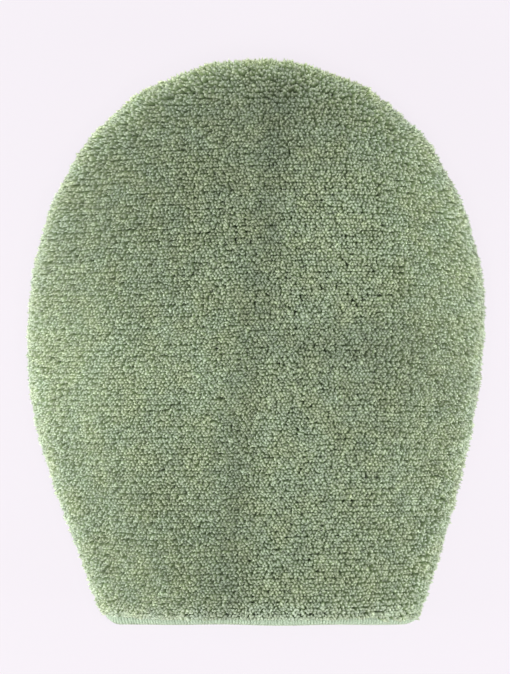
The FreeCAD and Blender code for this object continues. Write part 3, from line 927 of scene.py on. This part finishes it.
def flat_cut(panel, inward):
    """The flat cloth's width, length and area at this depth."""
    spare = panel.run(inward)[-1] - panel.roll
    step = 1 * MM
    margin = 10 * MM
    across = np.arange(-HALF_WIDTH - margin, HALF_WIDTH + margin, step)
    x, y = np.meshgrid(across, np.arange(CUFF, CROWN_TOP + margin, step))
    inside = rim_distance(x, y)[0] > -spare
    wide, tall = x[inside], y[inside]
    return wide.max() - wide.min(), tall.max() - tall.min(), inside.sum() * step**2


def make_sheet(panel, node, inward, thickness, material):
    """A cloth of the panel, as a sheet with its own thickness."""
    depths, heights = panel.section(inward + thickness / 2)
    mesh = spread_grid(f"{panel.name}_{node}_sheet", panel, depths, heights)
    piece = link(mesh, material, f"{panel.name}_{node}")
    solid = piece.modifiers.new("thickness", "SOLIDIFY")
    solid.thickness = thickness
    solid.offset = 0
    width, length, area = flat_cut(panel, inward)


def make_wadding(panel, material):
    """A thin pad between ground cloth and lining, rounded off at its edge."""
    node = f"{panel.name}_wadding"
    low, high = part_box(node)
    middle = abs((low.z + high.z) / 2 - SEAM)
    half = (high.z - low.z) / 2
    edge = np.linspace(0, math.pi / 2, 6)
    depths = panel.roll + WADDING_EDGE * (1 - np.cos(edge))
    outer = spread_grid(f"{node}_pad", panel, depths, middle + half * np.sin(edge))
    inner = spread_grid(f"{node}_face", panel, depths, middle - half * np.sin(edge))
    joined = bmesh.new()
    joined.from_mesh(outer)
    joined.from_mesh(inner)
    bmesh.ops.remove_doubles(joined, verts=joined.verts, dist=WADDING_MERGE)
    bmesh.ops.holes_fill(joined, edges=joined.edges, sides=0)
    bmesh.ops.recalc_face_normals(joined, faces=joined.faces)
    joined.to_mesh(outer)
    joined.free()
    piece = link(outer, material, node)


def resample(points, pitch, closed):
    """Points a pitch apart along a path, with their directions."""
    if closed:
        points = np.concatenate([points, points[:1]])
    steps = np.linalg.norm(np.diff(points, axis=0), axis=1)
    run = np.concatenate([[0], np.cumsum(steps)])
    count = max(2, round(run[-1] / pitch))
    at = np.linspace(0, run[-1], count, endpoint=not closed)
    found = np.stack([np.interp(at, run, points[:, k]) for k in range(3)], -1)
    if closed:
        along = np.roll(found, -1, 0) - np.roll(found, 1, 0)
    else:
        along = np.gradient(found, axis=0)
    return found, unit(along)


def wraps(name, edge, face, reach, radius, slant):
    """Loops of thread round a cloth's edge. Each crosses the outer face, the edge and the inner.
    The edge is its points, and at each the directions along it, out of the cloth and past it."""
    path, along, outward, edgeward = edge
    corner = min(face, 0.35 * reach)
    outline = np.array([
        (face, reach), (face, 0.5 * reach), (face, corner), (0.7 * face, 0.25 * corner),
        (0, 0), (-0.7 * face, 0.25 * corner), (-face, corner), (-face, 0.5 * reach),
        (-face, reach), (0, reach + 0.3 * radius),
    ])
    lean = slant * np.array([0, 0.5, 0.9, 1, 1, 1, 0.9, 0.5, 0, 0])
    shake = rng.normal(0, WRAP_SCATTER, (len(path), 1)) * radius
    centres = (
        path[:, None]
        + outward[:, None] * outline[:, 0][None, :, None]
        - edgeward[:, None] * outline[:, 1][None, :, None]
        + along[:, None] * (lean[None, :, None] + shake[:, None])
    )
    thick = radius * rng.normal(1, WRAP_SCATTER, (len(path), 1)) * np.ones((1, len(outline)))
    rings = tube_rings(centres, thick, along[:, None], THREAD_SIDES, closed=True, lobe=0.1)
    return closed_tubes(name, rings)


def cuff_path():
    """The cuff's edge, once round, at the middle of its thickness."""
    inward = (PILE + INNER) / 2
    side = SIDE_X - (SIDE_Y - CUFF) * math.tan(SIDE_TAPER)
    points = []
    for panel, turning in ((PALM, 1), (BACK, -1)):
        depth, height = panel.section(inward)
        x = side - depth / TAPER_COS
        z = SEAM + panel.facing * height
        half = np.stack([-x, np.zeros_like(x), z], -1)
        whole = np.concatenate([half, (half * np.array([-1, 1, 1]))[::-1]])
        points.append(whole[::turning])
    path = np.concatenate([points[0], points[1][1:-1]])
    path[:, 1] = CUFF
    return path


def cuff_as_it_lies():
    """The cuff's edge, a little wavy, drawn in on top, and out and up at its sides."""
    step = WRAP_PITCH / 4
    path, _ = resample(cuff_path(), step, closed=True)
    run = np.arange(len(path)) * step
    sides = run[[np.argmin(path[:, 0]), np.argmax(path[:, 0])]]
    to_side = np.abs(run[:, None] - sides)
    to_side = np.minimum(to_side, run[-1] - to_side).min(1)
    wavy = 0.2 * MM * np.sin(run / (17 * MM)) + 0.15 * MM * np.sin(run / (7.1 * MM) + 1)
    drawn_in = CUFF_DRAWN_IN * np.maximum(path[:, 2] - SEAM, 0)
    turned_up = np.where(path[:, 0] < 0, *CORNER_TURNS)
    turned_up *= (1 - ramp(to_side, CORNER_TURN_REACH)) ** 2
    path[:, 1] += WRAP_RADIUS + drawn_in + wavy + turned_up
    path[:, 0] += np.sign(path[:, 0]) * SIDE_PULL * (1 - ramp(to_side, SIDE_PULL_REACH)) ** 1.5
    return path


def face_out(along):
    """The way out of the cuff's cloth, for these directions along its edge."""
    return unit(np.stack([-along[:, 2], np.zeros(len(along)), along[:, 0]], -1))


def make_cuff(material, chain_material):
    """The serged cuff: bulky wraps side by side, and the two looper threads along its edge."""
    path, along = resample(cuff_as_it_lies(), WRAP_PITCH, closed=True)
    edgeward = unit(np.array([0.0, -1.0, 0.0]) + along * along[:, 1:2])
    half_thick = (INNER - PILE) / 2 + 0.35 * WRAP_RADIUS
    reach = BAND_TOP - CUFF - WRAP_RADIUS
    edge = (path, along, face_out(along), edgeward)
    mesh = wraps("cuff_serging_wraps", edge, half_thick, reach, WRAP_RADIUS, WRAP_SLANT)
    link(mesh, material, "cuff_serging")
    make_chain(path, chain_material)


def make_chain(path, material):
    """Two threads twisted round each other along the cuff's edge: a turn for every two wraps."""
    middle, along = resample(path, WRAP_PITCH / CHAIN_STEPS, closed=True)
    outward = face_out(along)
    phase = np.arange(len(middle)) * (math.pi / CHAIN_STEPS)
    strands = []
    for start in (0.0, math.pi):
        strand = middle + outward * CHAIN_BOB * np.cos(phase + start)[:, None]
        strand[:, 1] -= CHAIN_DROP + CHAIN_SWING * np.sin(phase + start)
        strands.append(strand)
    centres = np.stack(strands)
    thick = np.full(centres.shape[:2], CHAIN_RADIUS)
    rings = tube_rings(centres, thick, outward[None], THREAD_SIDES, closed=True)
    link(closed_tubes("cuff_edge_chain", rings), material)


def make_seam_overlock(material):
    """The joining seam's overlock, round the seam allowance inside the rim."""
    low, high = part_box("seam_overlock")
    radius = 0.35 * MM
    reach = 2.4 * MM
    inset = HALF_WIDTH - high.x + 2.6 * MM
    spokes = SPOKES[SPOKES[:, 1] > CUFF + 12 * MM]
    inward = np.stack([spokes[:, 2], spokes[:, 3], np.zeros(len(spokes))], -1)
    rim = np.stack([spokes[:, 0], spokes[:, 1], np.full(len(spokes), SEAM)], -1)
    path, along = resample(rim + inward * inset, 2.2 * MM, closed=False)
    outward = np.tile([0.0, 0.0, 1.0], (len(path), 1))
    edgeward = unit(np.cross(outward, along))
    facing_in = (edgeward[:, :2] * -path[:, :2]).sum(1, keepdims=True) > 0
    edgeward = np.where(facing_in, edgeward, -edgeward)
    edge = (path, along, outward, edgeward)
    half_thick = (high.z - low.z) / 2 - radius
    mesh = wraps("seam_overlock_wraps", edge, half_thick, reach, radius, slant=0.8 * MM)
    link(mesh, material, "seam_overlock")


def make_bartack(name, material):
    """Close bars of thread over the end of the joining seam."""
    low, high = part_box(name)
    radius = 0.3 * MM
    reach = 1.2 * MM
    near, far = sorted((low.x, high.x), key=abs)
    ends = np.array([(near, low.y, SEAM), (far, high.y, SEAM)])
    path, along = resample(ends, 2 * radius, closed=False)
    outward = np.tile([0.0, 0.0, 1.0], (len(path), 1))
    edgeward = np.tile([-math.copysign(TAPER_COS, near), TAPER_SIN, 0.0], (len(path), 1))
    edge = (path, along, outward, edgeward)
    half_thick = (high.z - low.z) / 2 - radius
    mesh = wraps(f"{name}_bars", edge, half_thick, reach, radius, slant=0.2 * MM)
    link(mesh, material, name)


def show(tree, seen, lit, share):
    """The camera sees this share of one shader. All other rays meet the other."""
    camera_ray = add_node(tree, "LightPath", {}).outputs["Is Camera Ray"]
    amount = add_node(tree, "Math", {0: camera_ray, 1: share}, operation="MULTIPLY").outputs[0]
    blend = add_node(tree, "MixShader", {"Fac": amount, 1: lit.outputs[0], 2: seen.outputs[0]})
    feed(tree, tree.get_output_node("CYCLES"), {"Surface": blend.outputs[0]})


def make_floor():
    """The pale floor, which the camera sees mostly in its own light."""
    far = 6.0
    corners = [(-far, -far, 0), (far, -far, 0), (far, far, 0), (-far, far, 0)]
    mesh = bpy.data.meshes.new("floor")
    mesh.from_pydata(corners, [], [(0, 1, 2, 3)])
    floor = add_object("floor", mesh)
    floor.location.z = FLOOR - 0.2 * MM
    material = bpy.data.materials.new("floor_pale")
    material.use_nodes = True
    tree = material.node_tree
    tree.nodes.remove(tree.nodes["Principled BSDF"])
    lit = add_node(tree, "BsdfDiffuse", {"Color": (0.80, 0.765, 0.80, 1)})
    glow = add_node(tree, "Emission", {"Color": BACKDROP})
    show(tree, glow, lit, share=0.9)
    mesh.materials.append(material)


def make_world():
    """Faint light from all round, with the floor's pale colour behind the mitt."""
    world = bpy.data.worlds.new("studio")
    bpy.context.scene.world = world
    world.use_nodes = True
    tree = world.node_tree
    faint = tree.nodes["Background"]
    feed(tree, faint, {"Color": (0.95, 0.97, 1.0, 1), "Strength": 0.18})
    pale = add_node(tree, "Background", {"Color": BACKDROP})
    show(tree, pale, faint, share=1.0)


def soft_light(name, place, size, power, spread=math.pi):
    """A square lamp that looks at the mitt's middle and isn't seen."""
    lamp = bpy.data.lights.new(name, "AREA")
    lamp.size = size
    lamp.energy = power
    lamp.spread = spread
    holder = add_object(name, lamp)
    holder.location = place
    target = holder.location.copy()
    target.z -= SEAM
    holder.rotation_mode = "QUATERNION"
    holder.rotation_quaternion = target.to_track_quat("Z", "Y")
    holder.visible_camera = False


def make_lamps():
    """A key lamp overhead and four low ones, too narrow to leave pools on the floor."""
    narrow = math.radians(90)
    soft_light("key", (0.03, -0.15, 1.3), size=0.5, power=6.9)
    soft_light("left", (-0.62, -0.09, 0.21), size=0.3, power=1.05, spread=narrow)
    soft_light("right", (0.52, -0.17, 0.18), size=0.3, power=0.68, spread=narrow)
    soft_light("front", (0.0, -0.60, 0.30), size=0.4, power=0.36, spread=narrow)
    soft_light("crown", (0.0, 0.75, 0.20), size=0.4, power=0.72, spread=narrow)


def make_camera():
    """Straight down from far off, with the crown at the top of the picture."""
    lens, sensor = 200.0, 36.0
    view_height = 300.4 * MM
    aim_x, aim_y = -1.1 * MM, 2.0 * MM
    camera = add_object("camera", bpy.data.cameras.new("camera"))
    camera.data.lens = lens
    camera.data.sensor_width = sensor
    camera.data.clip_end = 20
    camera.location = (aim_x, aim_y, SEAM + view_height * lens / sensor)
    bpy.context.scene.camera = camera


def dress():
    """The mitt's pieces, each in its material."""
    yarn = pile_material()
    ground = woven_material("ground_weave", (0.24, 0.30, 0.18, 1), (0.10, 0.135, 0.07, 1), 1.2 * MM)
    lining = woven_material("lining_weave", (0.50, 0.56, 0.42, 1), (0.33, 0.39, 0.27, 1), 0.9 * MM)
    serging = thread_material("serging_thread", (0.52, 0.62, 0.485, 1), (0.43, 0.53, 0.39, 1))
    sewing = thread_material("sewing_thread", (0.50, 0.58, 0.42, 1), (0.30, 0.36, 0.23, 1))
    fibre = wadding_material()
    for panel in (PALM, BACK):
        grow_pile(panel, yarn)
        make_sheet(panel, "ground_cloth", PILE, GROUND, ground)
        make_sheet(panel, "lining", INNER - LINING, LINING, lining)
        make_wadding(panel, fibre)
    make_cuff(serging, sewing)
    make_seam_overlock(sewing)
    for side in ("left", "right"):
        make_bartack(f"{side}_bartack", sewing)


dress()
make_floor()
make_world()
make_lamps()
make_camera()
bpy.context.scene.view_settings.view_transform = "Standard"
